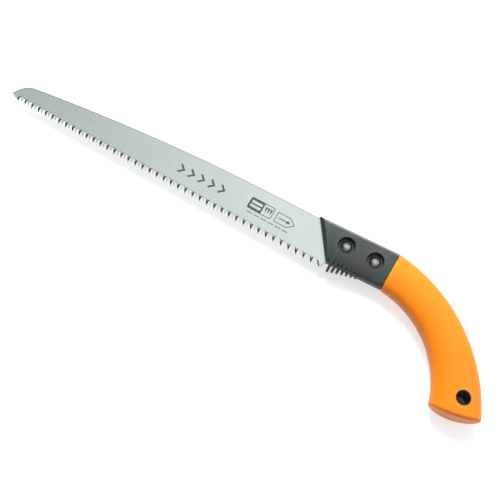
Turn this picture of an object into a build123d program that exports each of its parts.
from build123d import *
from math import cos, hypot, pi, radians, sin, sqrt
import os

# Curved-grip pruning pull saw with a fixed, bolted blade. All sizes in millimetres.
# Working frame: X runs along the tooth points from the blade's tip towards the grip,
# Y points to the back of the blade, and Z is square to the blade, with 0 at its mid-plane.
# The finished pieces are moved at the end so that the origin is the bottom centre of the saw.

# ---- blade ----
BLADE_THICKNESS = 1.4
TOOTH_PITCH = 3.861
FIRST_TOOTH_X = 17.5          # first full tooth
FULL_TEETH = 82
NOSE_TOOTH_X = 9.6            # cut short by the slanted nose
HEEL_TOOTH_X = 333.6          # cut short by the ramp at the heel
SHORT_TOOTH_Y = 0.9
TOOTH_ROOT_Y = 5.5
TOOTH_TOP_WIDTH = 2.85        # along the blade, from the point back to the shoulder
TOOTH_SHOULDER_Y = 3.9
TOOTH_BASE_WIDTH = 3.15
TOOTH_RAKE = 0.37             # the pulling flank leans this far by the time it meets the root
BEVEL_WIDTH = 1.0             # ground bevels, all on one face of a tooth
STRIP_TOP_Y = 7.0             # the toothed strip joins the plain plate here
STRIP_START_X = 6.0
NOSE_POINT = (0.0, 5.0)
NOSE_SHOULDER = (3.2, 10.4)   # the nose turns here into the round that leads to the back
NOSE_ROUND_MIDDLE = (9.2, 16.6)
BACK_START_X = 18.9
BACK_MIDDLE_X = 170.0
BACK_END_X = 330.0
BACK_ARC_CENTRE = (314.84, -2043.02)
BACK_ARC_RADIUS = 2084.15
HEEL_SHOULDER_RISE = 0.3      # the last tooth's shoulder sits this much higher
HEEL_RAMP_START = (334.6, 1.3)
HEEL_RAMP_END = (337.7, 7.0)
TANG_END_X = 384.0
TANG_TOP_Y = 39.8
TANG_BOTTOM_Y = 14.0
TANG_CORNER = 2.0
TANG_NECK = (352.0, 12.5)
BLADE_HOLE_GAP = 0.15         # round the sleeve nut's barrel
BACK_BEVEL_WIDTH = 1.3        # the back edge is ground a little thinner from both faces
BACK_BEVEL_DEPTH = 0.3

# ---- bolster ----
BOLSTER_HALF = 10.5           # half thickness
FRONT_LINE_POINT = (313.7, 40.3)
FRONT_LINE_ANGLE = -54.2      # direction of the slanted front edge, degrees from X
FRONT_BEVEL_WIDTH = 3.0
FRONT_BEVEL_BOTTOM = 2.5
JUNCTION_X = 391.5
BOLSTER_TOP_Y = 46.3          # upper and lower edge at the junction, and how they fall towards the blade
BOLSTER_TOP_SLOPE = 0.0505
BOLSTER_BOTTOM_Y = 9.0
BOLSTER_BOTTOM_SLOPE = 0.049
LOFT_START_X = 305.0
FACE_PULL_Y = 18.0            # pulls the crowned face out flat before its lower side rolls under
ROLL_PULL_Z = 7.0             # keeps the lower side steep near the parting plane
CROWN_DROP = 2.6              # the upper edge is crowned from the middle down to the chamfer
CROWN_Z = 8.0
CROWN_MIDDLE_DROP = 0.28      # the crown's arc passes here, as shares of its drop and its height
CROWN_MIDDLE_RISE = 0.55
EDGE_CHAMFER = 2.4
RIB_COUNT = 7
RIB_FIRST_X = 342.6
RIB_PITCH = 4.1
RIB_WIDTH = 2.1
RIB_START = 0.32              # the fingers start this far down the curve of the face
RIB_EDGE_ROUND = 0.55
RIB_FIRST_TIP_Y = -0.5
RIB_LAST_TIP_Y = 6.6
RIB_TIP_BEND = 0.25           # the line of the tips bows by this share

# ---- bolts that hold the blade, M6 with a 1 mm pitch ----
BOLT_X = (347.3, 375.8)
BOLT_Y = 26.8
RECESS_RADIUS = 7.8
RECESS_FLOOR_Z = 5.6
RECESS_RIM_CHAMFER = 0.35
WASHER_RADIUS = 7.5
WASHER_THICKNESS = 1.0
HEAD_RADIUS = 5.25
HEAD_HEIGHT = 3.3
HEAD_FLAT_DROP = 0.35         # the dome is turned flat this far below its crest
SOCKET_LOBE_REACH = 2.8       # six-lobe drive, 5.6 mm across its lobes
SOCKET_LOBE_RADIUS = 0.72
SOCKET_CORE_RADIUS = 2.05
SOCKET_DEPTH = 1.5
SHANK_RADIUS = 2.95
SHANK_LENGTH = 12.0
SHANK_END_CHAMFER = 0.7
SHANK_HOLE_GAP = 0.35
WASHER_EDGE_CHAMFER = 0.2
CLOSE_GAP = 0.05              # between a barrel or shank and the close hole round it
NUT_BORE_RADIUS = 3.0
NUT_BARREL_RADIUS = 4.25
NUT_BARREL_TOP_Z = 3.2
NUT_BARREL_END_GAP = 0.3
NUT_ACROSS_FLATS = 13.0
NUT_POCKET_GAP = 0.1
NUT_CORNER_ROUNDING = 0.6     # the hexagon's corners are turned down to this much outside its flats
NUT_HEAD_HEIGHT = 3.2
NUT_WASHER_RADIUS = 6.4

# ---- grip ----
SECTION_CENTRE = (391.5, -95.0)     # the grip's cross-sections fan out from here
OUTER_CENTRE = (373.43, -107.54)
OUTER_RADIUS = 155.2
INNER_CENTRE = (385.64, -81.12)
INNER_RADIUS = 89.8
STATION_ANGLES = (92, 80, 66, 52, 38, 26, 12)
SECTION_SIDE_PULL = 0.8             # these two pulls square the oval a little: 0.67 and 0.44
SECTION_TOP_PULL = 0.56             # would make it an ellipse
GRIP_HALF_FRONT = 11.0
GRIP_HALF_MIDDLE = 13.5
GRIP_HALF_BUTT = 12.4
SKIN = 2.2
CORE_WALL = 3.0
GROOVE_WIDTH = 0.45
BUTT_CENTRE = (482.0, 11.2)           # the butt is one gentle arc
BUTT_RADIUS = 72.2
BUTT_ARC_ANGLES = (-125, -48)
BUTT_ROUND = 3.0
THICKEST_ANGLE = 50

# ---- inside the grip ----
HOLE_CENTRE = (495.0, -43.0)
HOLE_RADIUS = 5.75
BUSH_WALL = 1.0
BUSH_STATION_ANGLE = 26
BUSH_SETBACK = 1.2            # its ends lie this far below the grip's surface
BUSH_END_CHAMFER = 0.3
HOLE_BOSS_RADIUS = 9.5
DOWEL_ANGLES = (85, 54, 37)
SCREW_ANGLES = (76, 64, 45)
DOWEL_RADIUS = 2.0
DOWEL_HALF_LENGTH = 7.0
DOWEL_END_CHAMFER = 0.4
BOSS_RADIUS = 5.8
SCREW_RADIUS = 2.0
SCREW_CLEARANCE = 2.15
SCREW_HEAD_RADIUS = 3.75
SCREW_HEAD_HEIGHT = 2.8
SCREW_SEAT_Z = -6.0
SCREW_TIP_Z = 8.0
SCREW_ACCESS_RADIUS = 4.1
SCREW_HEAD_ROUND = 1.6
SCREW_END_CHAMFER = 0.8
SCREW_END_SETBACK = 0.6       # the screw stops short of the bottom of its pilot hole
CROSS_LENGTH = 4.2
CROSS_WIDTH = 0.8
CROSS_DEPTH = 3.0

HALF_BLADE = BLADE_THICKNESS / 2
BEYOND = 20.0                 # further from the mid-plane than any piece reaches


def back_y(x):
    """Height of the blade's back edge at x, on its one long arc."""
    offset = x - BACK_ARC_CENTRE[0]
    return BACK_ARC_CENTRE[1] + sqrt(BACK_ARC_RADIUS ** 2 - offset ** 2)


def cylinder(x, y, radius, z_low, z_high):
    """A solid cylinder square to the blade."""
    length = z_high - z_low
    return Pos(x, y, z_low) * Cylinder(radius, length, align=(Align.CENTER, Align.CENTER, Align.MIN))


def hexagon_prism(x, half_across_flats, z_low, z_high):
    """A hexagonal prism on a bolt's axis."""
    hexagon = RegularPolygon(half_across_flats, 6, major_radius=False)
    return extrude(Pos(x, BOLT_Y, z_low) * hexagon, z_high - z_low)


# ---------------------------------------------------------------- blade

def offset_crossing(line_a, line_b):
    """Where two lines cross, each given as (normal_x, normal_y, distance)."""
    a1, b1, c1 = line_a
    a2, b2, c2 = line_b
    det = a1 * b2 - a2 * b1
    return ((c1 * b2 - c2 * b1) / det, (a1 * c2 - a2 * c1) / det)


def moved_line(start, end, distance):
    """The line from start to end, moved to its left by distance."""
    dx = end[0] - start[0]
    dy = end[1] - start[1]
    length = hypot(dx, dy)
    normal = (-dy / length, dx / length)
    return (normal[0], normal[1], normal[0] * start[0] + normal[1] * start[1] + distance)


def tooth_points(x):
    """Back root, shoulder, point and front root of a full tooth."""
    back_root = (x - TOOTH_BASE_WIDTH, TOOTH_ROOT_Y)
    shoulder = (x - TOOTH_TOP_WIDTH, TOOTH_SHOULDER_Y)
    front_root = (x - TOOTH_RAKE, TOOTH_ROOT_Y)
    return back_root, shoulder, (x, 0.0), front_root


def full_tooth(x):
    """Matching point lists for the full face and the ground face of one tooth."""
    back_root, shoulder, point, front_root = tooth_points(x)
    root_line = (0.0, 1.0, TOOTH_ROOT_Y)
    back_line = moved_line(back_root, shoulder, BEVEL_WIDTH)
    top_line = moved_line(shoulder, point, BEVEL_WIDTH)
    front_line = moved_line(point, front_root, BEVEL_WIDTH)
    ground = [back_root, offset_crossing(back_line, root_line), offset_crossing(back_line, top_line),
              offset_crossing(top_line, front_line), offset_crossing(front_line, root_line), front_root]
    full = [back_root, back_root, shoulder, point, front_root, front_root]
    return full, ground


def nose_tooth():
    """The first tooth: the nose's slanted edge runs straight into its point."""
    point = (NOSE_TOOTH_X, SHORT_TOOTH_Y)
    front_root = (NOSE_TOOTH_X - TOOTH_RAKE, TOOTH_ROOT_Y)
    nose_line = moved_line(NOSE_POINT, point, 0)
    front_line = moved_line(point, front_root, BEVEL_WIDTH)
    edge_start = offset_crossing(nose_line, (1.0, 0.0, STRIP_START_X))
    ground = [edge_start, offset_crossing(nose_line, front_line),
              offset_crossing(front_line, (0.0, 1.0, TOOTH_ROOT_Y)), front_root]
    return [edge_start, point, front_root, front_root], ground


def heel_tooth():
    """The last tooth: its point runs into the ramp that rises to the bolster."""
    back_root = (HEEL_TOOTH_X - TOOTH_BASE_WIDTH, TOOTH_ROOT_Y)
    shoulder = (HEEL_TOOTH_X - TOOTH_TOP_WIDTH, TOOTH_SHOULDER_Y + HEEL_SHOULDER_RISE)
    point = (HEEL_TOOTH_X, SHORT_TOOTH_Y)
    back_line = moved_line(back_root, shoulder, BEVEL_WIDTH)
    top_line = moved_line(shoulder, point, BEVEL_WIDTH)
    foot_line = moved_line(point, HEEL_RAMP_START, 0)
    ground = [back_root, offset_crossing(back_line, (0.0, 1.0, TOOTH_ROOT_Y)),
              offset_crossing(back_line, top_line), offset_crossing(top_line, foot_line), HEEL_RAMP_START]
    return [back_root, back_root, shoulder, point, HEEL_RAMP_START], ground


def gullet(start_x, end_x):
    """The round bottom of the gap between two teeth."""
    centre = (start_x + end_x) / 2
    radius = (end_x - start_x) / 2
    angles = [radians(degrees_up) for degrees_up in (135, 90, 45)]
    return [(centre + radius * cos(a), TOOTH_ROOT_Y + radius * sin(a)) for a in angles]


def strip_loops():
    """Point-by-point matched outlines of the toothed strip on the upper and the lower face."""
    teeth = [nose_tooth(), full_tooth(FIRST_TOOTH_X - TOOTH_PITCH)]
    teeth += [full_tooth(FIRST_TOOTH_X + k * TOOTH_PITCH) for k in range(FULL_TEETH)]
    teeth.append(heel_tooth())
    upper = [(STRIP_START_X, STRIP_TOP_Y)]
    lower = [(STRIP_START_X, STRIP_TOP_Y)]
    for number, (full, ground) in enumerate(teeth):
        if number:
            bottom = gullet(upper[-1][0], full[0][0])
            upper += bottom
            lower += bottom
        upper += ground if number % 2 == 0 else full
        lower += full if number % 2 == 0 else ground
    return upper + [HEEL_RAMP_END], lower + [HEEL_RAMP_END]


def toothed_strip():
    """The toothed strip as one solid. Every other tooth is ground on the other face."""
    upper, lower = strip_loops()
    top = [Vector(x, y, HALF_BLADE) for x, y in upper]
    bottom = [Vector(x, y, -HALF_BLADE) for x, y in lower]
    faces = [Face(closed_wire(top)), Face(closed_wire(bottom))]
    count = len(top)
    for i in range(count):
        j = (i + 1) % count
        faces.append(Face(closed_wire([top[i], top[j], bottom[j], bottom[i]])))
    solid = Solid(Shell(faces))
    return solid if solid.volume > 0 else Solid(solid.wrapped.Reversed())


def closed_wire(points):
    """A closed polygon that skips points lying on the one before."""
    kept = []
    for point in points:
        if not kept or (point - kept[-1]).length > 1e-6:
            kept.append(point)
    if (kept[0] - kept[-1]).length < 1e-6:
        kept.pop()
    return Wire.make_polygon(kept, close=True)


def blade_plate():
    """The plain plate above the teeth, with the nose, the long back arc and the tang."""
    nose_low = offset_crossing(moved_line(NOSE_POINT, (NOSE_TOOTH_X, SHORT_TOOTH_Y), 0),
                               (1.0, 0.0, STRIP_START_X))
    strip_start = (STRIP_START_X, STRIP_TOP_Y)
    back_start, back_middle, back_end = [(x, back_y(x)) for x in (BACK_START_X, BACK_MIDDLE_X, BACK_END_X)]
    tang_top = [(TANG_END_X - TANG_CORNER, TANG_TOP_Y), (TANG_END_X, TANG_TOP_Y - TANG_CORNER)]
    tang_bottom = [(TANG_END_X, TANG_BOTTOM_Y + TANG_CORNER), (TANG_END_X - TANG_CORNER, TANG_BOTTOM_Y)]
    with BuildSketch() as outline:
        with BuildLine():
            Polyline(strip_start, nose_low, NOSE_POINT, NOSE_SHOULDER)
            ThreePointArc(NOSE_SHOULDER, NOSE_ROUND_MIDDLE, back_start)
            ThreePointArc(back_start, back_middle, back_end)
            Polyline(back_end, *tang_top, *tang_bottom, TANG_NECK, HEEL_RAMP_END, strip_start)
        make_face()
    return extrude(outline.sketch, HALF_BLADE, both=True)


def back_bevelled(plate):
    """Grind the long back edge and the round of the nose from both faces."""
    for side in (1, -1):
        face = plate.faces().filter_by(Axis.Z).sort_by(Axis.Z)[-1 if side > 0 else 0]
        curved = face.edges().filter_by(GeomType.CIRCLE)
        plate = chamfer(curved, BACK_BEVEL_WIDTH, BACK_BEVEL_DEPTH, reference=face)
    return plate


def make_blade():
    """Blade with its teeth and the two holes that the sleeve nuts pass through."""
    blade = back_bevelled(blade_plate()) + toothed_strip()
    for x in BOLT_X:
        blade -= cylinder(x, BOLT_Y, NUT_BARREL_RADIUS + BLADE_HOLE_GAP, -BEYOND, BEYOND)
    return blade


# ---------------------------------------------------------------- bolster and core

def face_controls(top_y, bottom_y):
    """Control points of the curve over the crowned face and round the lower side."""
    return [Vector(top_y - CROWN_DROP - EDGE_CHAMFER, BOLSTER_HALF), Vector(FACE_PULL_Y, BOLSTER_HALF),
            Vector(bottom_y, ROLL_PULL_Z), Vector(bottom_y, 0)]


def rest_of_curve(controls, share):
    """Control points of what is left of a curve past the given share of it."""
    left = []
    while controls:
        left.insert(0, controls[-1])
        controls = [a + (b - a) * share for a, b in zip(controls, controls[1:])]
    return left


def half_section(x):
    """Upper half of the bolster's cross-section at x: crown, chamfer, crowned face, rolled lower side."""
    top_y, bottom_y = edge_heights(x)
    face = face_controls(top_y, bottom_y)
    chamfer_low = (top_y - CROWN_DROP, CROWN_Z)
    crown_middle = (top_y - CROWN_DROP * CROWN_MIDDLE_DROP, CROWN_Z * CROWN_MIDDLE_RISE)
    plane = Plane(origin=(x, 0, 0), x_dir=(0, 1, 0), z_dir=(1, 0, 0))
    with BuildSketch(plane) as section:
        with BuildLine():
            ThreePointArc((top_y, 0), crown_middle, chamfer_low)
            Line(chamfer_low, face[0])
            Bezier(*face)
            Line((bottom_y, 0), (top_y, 0))
        make_face()
    return section.sketch


def edge_heights(x):
    """Top and bottom of the bolster at x, on its two nearly parallel edges."""
    ahead = JUNCTION_X - x
    return BOLSTER_TOP_Y - BOLSTER_TOP_SLOPE * ahead, BOLSTER_BOTTOM_Y - BOLSTER_BOTTOM_SLOPE * ahead


def front_trim():
    """What is cut away in front of the slanted front edge, with its bevel."""
    angle = radians(FRONT_LINE_ANGLE)
    along = Vector(cos(angle), sin(angle), 0)
    inward = Vector(-sin(angle), cos(angle), 0)
    start = Vector(*FRONT_LINE_POINT) - along * 30
    plane = Plane(origin=start, x_dir=inward, z_dir=along)
    slope = FRONT_BEVEL_WIDTH / (BOLSTER_HALF - FRONT_BEVEL_BOTTOM)
    top = BOLSTER_HALF + 2
    with BuildSketch(plane) as section:
        with BuildLine():
            Polyline((-40, -1), (0, -1), (0, FRONT_BEVEL_BOTTOM),
                     (slope * (top - FRONT_BEVEL_BOTTOM), top), (-40, top), (-40, -1))
        make_face()
    return extrude(section.sketch, 90)


def rib(number):
    """One finger of the comb under the bolster. It grows out of the face where that begins to roll."""
    x = RIB_FIRST_X + number * RIB_PITCH
    share = number / (RIB_COUNT - 1)
    bowed = (1 + RIB_TIP_BEND) * share - RIB_TIP_BEND * share ** 2
    tip = RIB_FIRST_TIP_Y + (RIB_LAST_TIP_Y - RIB_FIRST_TIP_Y) * bowed
    start, face_pull, roll_pull, _ = rest_of_curve(face_controls(*edge_heights(x)), RIB_START)
    plane = Plane(origin=(x - RIB_WIDTH / 2, 0, 0), x_dir=(0, 1, 0), z_dir=(1, 0, 0))
    with BuildSketch(plane) as section:
        with BuildLine():
            Bezier(start, face_pull, (tip, roll_pull.Y), (tip, 0))
            Polyline((tip, 0), (start.X, 0), (start.X, start.Y))
        make_face()
    finger = extrude(section.sketch, RIB_WIDTH)
    curved = [edge for edge in finger.edges() if edge.geom_type in (GeomType.BEZIER, GeomType.BSPLINE)]
    return fillet(curved, RIB_EDGE_ROUND)


def bolster_half():
    """Upper half of the bolster, with its comb, before any holes."""
    ends = [half_section(x) for x in (LOFT_START_X, JUNCTION_X)]
    body = loft(Sketch() + ends, ruled=True) - front_trim()
    for number in range(RIB_COUNT):
        body += rib(number)
    return body


def ray_hit(angle, centre, radius):
    """Distance from SECTION_CENTRE to a circle, along a ray at the given angle in degrees."""
    ux, uy = cos(radians(angle)), sin(radians(angle))
    dx = SECTION_CENTRE[0] - centre[0]
    dy = SECTION_CENTRE[1] - centre[1]
    half_b = ux * dx + uy * dy
    return -half_b + sqrt(half_b ** 2 - dx ** 2 - dy ** 2 + radius ** 2)


def grip_middle(angle):
    """Point on the grip's middle line at a station angle."""
    reach = (ray_hit(angle, OUTER_CENTRE, OUTER_RADIUS) + ray_hit(angle, INNER_CENTRE, INNER_RADIUS)) / 2
    return (SECTION_CENTRE[0] + reach * cos(radians(angle)), SECTION_CENTRE[1] + reach * sin(radians(angle)))


def grip_half_thickness(angle):
    """Thickest in the palm, thinner at the bolster and at the butt."""
    front, butt, palm = STATION_ANGLES[0], STATION_ANGLES[-1], THICKEST_ANGLE
    if angle > palm:
        share = (front - angle) / (front - palm)
        return GRIP_HALF_FRONT + (GRIP_HALF_MIDDLE - GRIP_HALF_FRONT) * sin(share * pi / 2)
    share = (palm - angle) / (palm - butt)
    return GRIP_HALF_MIDDLE - (GRIP_HALF_MIDDLE - GRIP_HALF_BUTT) * share ** 2


def grip_section(angle, inset):
    """Upper half of the grip's full, rounded cross-section at a station, shrunk by inset."""
    outer = ray_hit(angle, OUTER_CENTRE, OUTER_RADIUS)
    inner = ray_hit(angle, INNER_CENTRE, INNER_RADIUS)
    half_width = (outer - inner) / 2 - inset
    half_height = grip_half_thickness(angle) - inset
    side = half_height * SECTION_SIDE_PULL
    top = half_width * SECTION_TOP_PULL
    above = half_height * (32 - 10 * SECTION_SIDE_PULL) / 20    # puts the crest exactly at half_height
    ray = Vector(cos(radians(angle)), sin(radians(angle)), 0)
    plane = Plane(origin=(*grip_middle(angle), 0), x_dir=ray, z_dir=ray.cross(Vector(0, 0, 1)))
    with BuildSketch(plane) as section:
        with BuildLine():
            Bezier((half_width, 0), (half_width, side), (top, above), (-top, above),
                   (-half_width, side), (-half_width, 0))
            Line((-half_width, 0), (half_width, 0))
        make_face()
    return section.sketch


def butt_prism(inset):
    """Everything on the bolster's side of the butt's gentle arc, moved in by inset."""
    first, last = BUTT_ARC_ANGLES
    with BuildSketch() as outline:
        with BuildLine():
            arc = CenterArc(BUTT_CENTRE, BUTT_RADIUS - inset, first, last - first)
            Polyline(arc @ 0, (JUNCTION_X - 10, -10), (JUNCTION_X - 10, 60), (560, 60), arc @ 1)
        make_face()
    return extrude(outline.sketch, 30, both=True)


def grip_body(inset, start_x):
    """Upper half of the grip's whole form, shrunk by inset, from start_x to the butt."""
    sections = [grip_section(angle, inset) for angle in STATION_ANGLES]
    form = loft(Sketch() + sections)
    form = form & butt_prism(inset)
    return form - Pos(start_x - 50, 27, 0) * Box(100, 80, 60)


def posts(angles, radius, z_low, z_high):
    """Equal cylinders on the grip's middle line."""
    return [cylinder(*grip_middle(angle), radius, z_low, z_high) for angle in angles]


def core_hollow():
    """The space inside the core, with posts left standing in it."""
    hollow = grip_body(SKIN + CORE_WALL, JUNCTION_X + 4)
    for post in posts(DOWEL_ANGLES + SCREW_ANGLES, BOSS_RADIUS, -1, BEYOND):
        hollow -= post
    return hollow - cylinder(*HOLE_CENTRE, HOLE_BOSS_RADIUS, -1, BEYOND)


def plain_core():
    """Upper half of the core: bolster and hollow spine, cut for the blade, the bush and the dowels."""
    core = bolster_half() + grip_body(SKIN, JUNCTION_X)
    core -= core_hollow()
    core -= blade_plate()
    core -= cylinder(*HOLE_CENTRE, HOLE_RADIUS + BUSH_WALL, -1, BEYOND)
    for hole in posts(DOWEL_ANGLES, DOWEL_RADIUS, -1, DOWEL_HALF_LENGTH):
        core -= hole
    return core


def bolt_recess(core, x):
    """Sink a bolt's recess into the upper face and break the edge of its rim."""
    core -= cylinder(x, BOLT_Y, RECESS_RADIUS, RECESS_FLOOR_Z, BEYOND)
    wall = core.faces().filter_by(GeomType.CYLINDER).sort_by_distance(Vector(x + RECESS_RADIUS, BOLT_Y, 8))[0]
    rim = wall.edges().sort_by(Axis.Z)[-1]
    return chamfer(rim, RECESS_RIM_CHAMFER)


def make_core_left(core):
    """The half on the upper side: bolt recesses, barrel and shank holes, screw pilots."""
    for x in BOLT_X:
        core = bolt_recess(core, x)
        core -= cylinder(x, BOLT_Y, NUT_BARREL_RADIUS + CLOSE_GAP, -1, NUT_BARREL_TOP_Z + NUT_BARREL_END_GAP)
        core -= cylinder(x, BOLT_Y, SHANK_RADIUS + SHANK_HOLE_GAP, 0, BEYOND)
    for pilot in posts(SCREW_ANGLES, SCREW_RADIUS, -1, SCREW_TIP_Z):
        core -= pilot
    return core


def make_core_right(core):
    """The half on the lower side: hexagon pockets for the nuts and seats for the screws."""
    core = mirror(core, Plane.XY)
    for x in BOLT_X:
        core -= hexagon_prism(x, NUT_ACROSS_FLATS / 2 + NUT_POCKET_GAP, -BEYOND, -RECESS_FLOOR_Z)
        core -= cylinder(x, BOLT_Y, NUT_BARREL_RADIUS + CLOSE_GAP, -BEYOND, 1)
    for hole in posts(SCREW_ANGLES, SCREW_CLEARANCE, -BEYOND, 1):
        core -= hole
    for seat in posts(SCREW_ANGLES, SCREW_ACCESS_RADIUS, -BEYOND, SCREW_SEAT_Z):
        core -= seat
    return core


# ---------------------------------------------------------------- grip shells

def plain_grip():
    """Upper grip shell: the outer form with a rounded butt rim, less the core inside it."""
    half = grip_body(0, JUNCTION_X + GROOVE_WIDTH)
    form = round_butt(half + mirror(half, Plane.XY))
    form &= Pos(JUNCTION_X + 60, 0, 0) * Box(160, 160, 60, align=(Align.CENTER, Align.CENTER, Align.MIN))
    form -= grip_body(SKIN, JUNCTION_X - 5)
    return form - cylinder(*HOLE_CENTRE, HOLE_RADIUS + BUSH_WALL, -1, BEYOND)


def round_butt(form):
    """Round the rim where the grip's sides meet the butt."""
    butt_faces = form.faces().filter_by(GeomType.CYLINDER)
    rim = [edge for face in butt_faces for edge in face.edges() if edge.bounding_box().size.Z > 1]
    return fillet(rim, BUTT_ROUND)


def make_grip_right(grip):
    """Lower grip shell, with the access holes for the grip screws."""
    grip = mirror(grip, Plane.XY)
    for hole in posts(SCREW_ANGLES, SCREW_ACCESS_RADIUS, -BEYOND, 0):
        grip -= hole
    return grip


# ---------------------------------------------------------------- fasteners

def make_bolt(x):
    """Button-head screw with a six-lobe socket."""
    seat = RECESS_FLOOR_Z + WASHER_THICKNESS
    dome_radius = (HEAD_RADIUS ** 2 + HEAD_HEIGHT ** 2) / (2 * HEAD_HEIGHT)
    dome = Pos(0, 0, seat + HEAD_HEIGHT - dome_radius) * Sphere(dome_radius)
    head = Pos(0, 0, seat) * Cylinder(HEAD_RADIUS, 10, align=(Align.CENTER, Align.CENTER, Align.MIN)) & dome
    flat_top = seat + HEAD_HEIGHT - HEAD_FLAT_DROP
    head -= Pos(0, 0, flat_top) * Cylinder(8, 5, align=(Align.CENTER, Align.CENTER, Align.MIN))
    lobes = PolarLocations(SOCKET_LOBE_REACH - SOCKET_LOBE_RADIUS, 6) * Circle(SOCKET_LOBE_RADIUS)
    socket = extrude(Pos(0, 0, flat_top - SOCKET_DEPTH) * (Circle(SOCKET_CORE_RADIUS) + lobes), 5)
    shank = Pos(0, 0, seat - SHANK_LENGTH) * Cylinder(SHANK_RADIUS, SHANK_LENGTH,
                                                      align=(Align.CENTER, Align.CENTER, Align.MIN))
    end = shank.edges().filter_by(GeomType.CIRCLE).sort_by(Axis.Z)[0]
    return Pos(x, BOLT_Y, 0) * (head - socket + chamfer(end, SHANK_END_CHAMFER))


def make_bolt_washer(x):
    """Round washer that stays on the bolt, with its outer edges broken."""
    washer = cylinder(x, BOLT_Y, WASHER_RADIUS, RECESS_FLOOR_Z, RECESS_FLOOR_Z + WASHER_THICKNESS)
    washer = chamfer(washer.edges().filter_by(GeomType.CIRCLE), WASHER_EDGE_CHAMFER)
    return washer - cylinder(x, BOLT_Y, SHANK_RADIUS + CLOSE_GAP, 0, BEYOND)


def make_sleeve_nut(x):
    """Nut with a hexagon head in the lower half and a barrel that passes through the blade."""
    head_top = -RECESS_FLOOR_Z - WASHER_THICKNESS
    head_bottom = head_top - NUT_HEAD_HEIGHT
    hexagon = hexagon_prism(x, NUT_ACROSS_FLATS / 2, head_bottom, head_top)
    rounding = cylinder(x, BOLT_Y, NUT_ACROSS_FLATS / 2 + NUT_CORNER_ROUNDING, head_bottom, head_top)
    barrel = cylinder(x, BOLT_Y, NUT_BARREL_RADIUS, head_top, NUT_BARREL_TOP_Z)
    return (hexagon & rounding) + barrel - cylinder(x, BOLT_Y, NUT_BORE_RADIUS, -BEYOND, BEYOND)


def make_nut_washer(x):
    """Flat washer between the nut's head and the core."""
    top = -RECESS_FLOOR_Z
    washer = cylinder(x, BOLT_Y, NUT_WASHER_RADIUS, top - WASHER_THICKNESS, top)
    return washer - cylinder(x, BOLT_Y, NUT_BARREL_RADIUS + CLOSE_GAP, -BEYOND, BEYOND)


def make_hang_bush():
    """Tube that lines the hanging hole and ties the two halves together at the butt."""
    half_length = grip_half_thickness(BUSH_STATION_ANGLE) - BUSH_SETBACK
    tube = cylinder(*HOLE_CENTRE, HOLE_RADIUS + BUSH_WALL, -half_length, half_length)
    tube = chamfer(tube.edges().filter_by(GeomType.CIRCLE), BUSH_END_CHAMFER)
    return tube - cylinder(*HOLE_CENTRE, HOLE_RADIUS, -BEYOND, BEYOND)


def make_dowel(angle):
    """Pin that lines up the two core halves."""
    pin = cylinder(*grip_middle(angle), DOWEL_RADIUS, -DOWEL_HALF_LENGTH, DOWEL_HALF_LENGTH)
    return chamfer(pin.edges().filter_by(GeomType.CIRCLE), DOWEL_END_CHAMFER)


def make_grip_screw(angle):
    """Pan-head screw driven from the lower side, with a cross recess."""
    x, y = grip_middle(angle)
    head = cylinder(x, y, SCREW_HEAD_RADIUS, SCREW_SEAT_Z - SCREW_HEAD_HEIGHT, SCREW_SEAT_Z)
    rim = head.edges().filter_by(GeomType.CIRCLE).sort_by(Axis.Z)[0]
    head = fillet(rim, SCREW_HEAD_ROUND)
    shank = cylinder(x, y, SCREW_RADIUS, SCREW_SEAT_Z, SCREW_TIP_Z - SCREW_END_SETBACK)
    tip = shank.edges().filter_by(GeomType.CIRCLE).sort_by(Axis.Z)[-1]
    cross = Box(CROSS_LENGTH, CROSS_WIDTH, CROSS_DEPTH) + Box(CROSS_WIDTH, CROSS_LENGTH, CROSS_DEPTH)
    return head + chamfer(tip, SCREW_END_CHAMFER) - Pos(x, y, SCREW_SEAT_Z - SCREW_HEAD_HEIGHT) * cross


# ---------------------------------------------------------------- all pieces

def make_pieces():
    """Every piece by node name, in the working frame."""
    core = plain_core()
    grip = plain_grip()
    pieces = {
        "blade": make_blade(),
        "core_left": make_core_left(core),
        "core_right": make_core_right(core),
        "grip_left": grip,
        "grip_right": make_grip_right(grip),
        "hang_bush": make_hang_bush(),
    }
    for place, x in zip(("front", "rear"), BOLT_X):
        pieces[place + "_bolt"] = make_bolt(x)
        pieces[place + "_bolt_washer"] = make_bolt_washer(x)
        pieces[place + "_sleeve_nut"] = make_sleeve_nut(x)
        pieces[place + "_nut_washer"] = make_nut_washer(x)
    for number in range(3):
        pieces[f"grip_dowel_{number + 1}"] = make_dowel(DOWEL_ANGLES[number])
        pieces[f"grip_screw_{number + 1}"] = make_grip_screw(SCREW_ANGLES[number])
    return pieces


def main():
    os.makedirs("parts", exist_ok=True)
    pieces = make_pieces()
    box = Compound(list(pieces.values())).bounding_box()
    shift = Vector(-(box.min.X + box.max.X) / 2, -(box.min.Y + box.max.Y) / 2, -box.min.Z)
    print("shift", shift)
    for name, piece in pieces.items():
        export_step(Pos(*shift) * piece, f"parts/{name}.step")


main()
